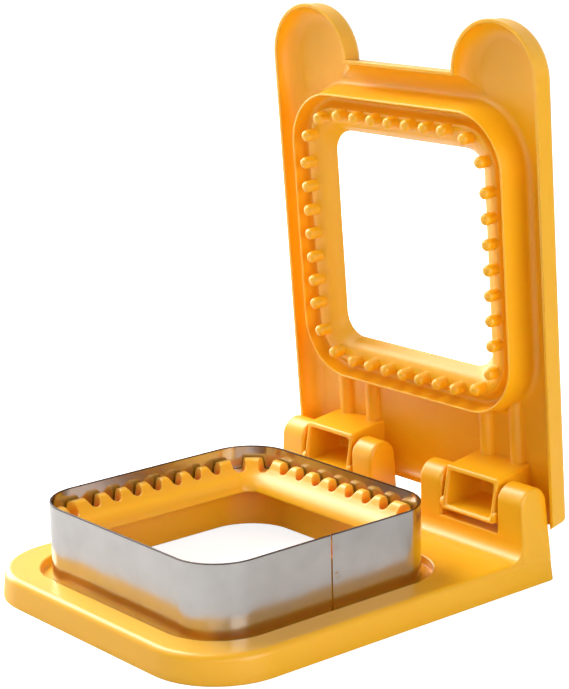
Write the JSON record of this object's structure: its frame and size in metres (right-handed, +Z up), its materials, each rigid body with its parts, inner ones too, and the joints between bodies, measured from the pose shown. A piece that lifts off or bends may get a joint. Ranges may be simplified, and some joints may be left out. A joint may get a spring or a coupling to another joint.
{
  "type": "sandwich cutter and sealer",
  "caption": "Hinged kitchen press: a lid with a toothed ring folds onto a base with a matching ring, and a loose square steel band between them cuts and seals a filled sandwich.",
  "frame": {"origin": "the middle of the object's outline at table level, with the lid standing open", "axes": "+Z up, the way the open lid stands; +Y from the rounded front of the base towards the hinge at its rear; +X along the hinge, to the right of a user who faces the hinge from the front"},
  "size_m": [0.1264, 0.1528, 0.1839],
  "materials": {
    "base_plastic": "glossy yellow-orange moulded plastic",
    "lid_plastic": "glossy yellow-orange moulded plastic",
    "frame_steel": "bright rolled stainless strip, almost mirror-like"
  },
  "bodies": {
    "base": {"base": "base_plastic"},
    "lid": {"lid": "lid_plastic"},
    "cutter_frame": {"cutter_frame": "frame_steel"}
  },
  "joints": [
    {"name": "lid_hinge", "type": "hinge", "parent": "base", "child": "lid", "pos_m": [0, 0.06183, 0.0268], "axis": [1, 0, 0], "range_deg": [0, 86.15]},
    {"name": "cutter_lift", "type": "slide", "parent": "base", "child": "cutter_frame", "axis": [0, 0, 1], "range_m": [0, 0.04]}
  ]
}
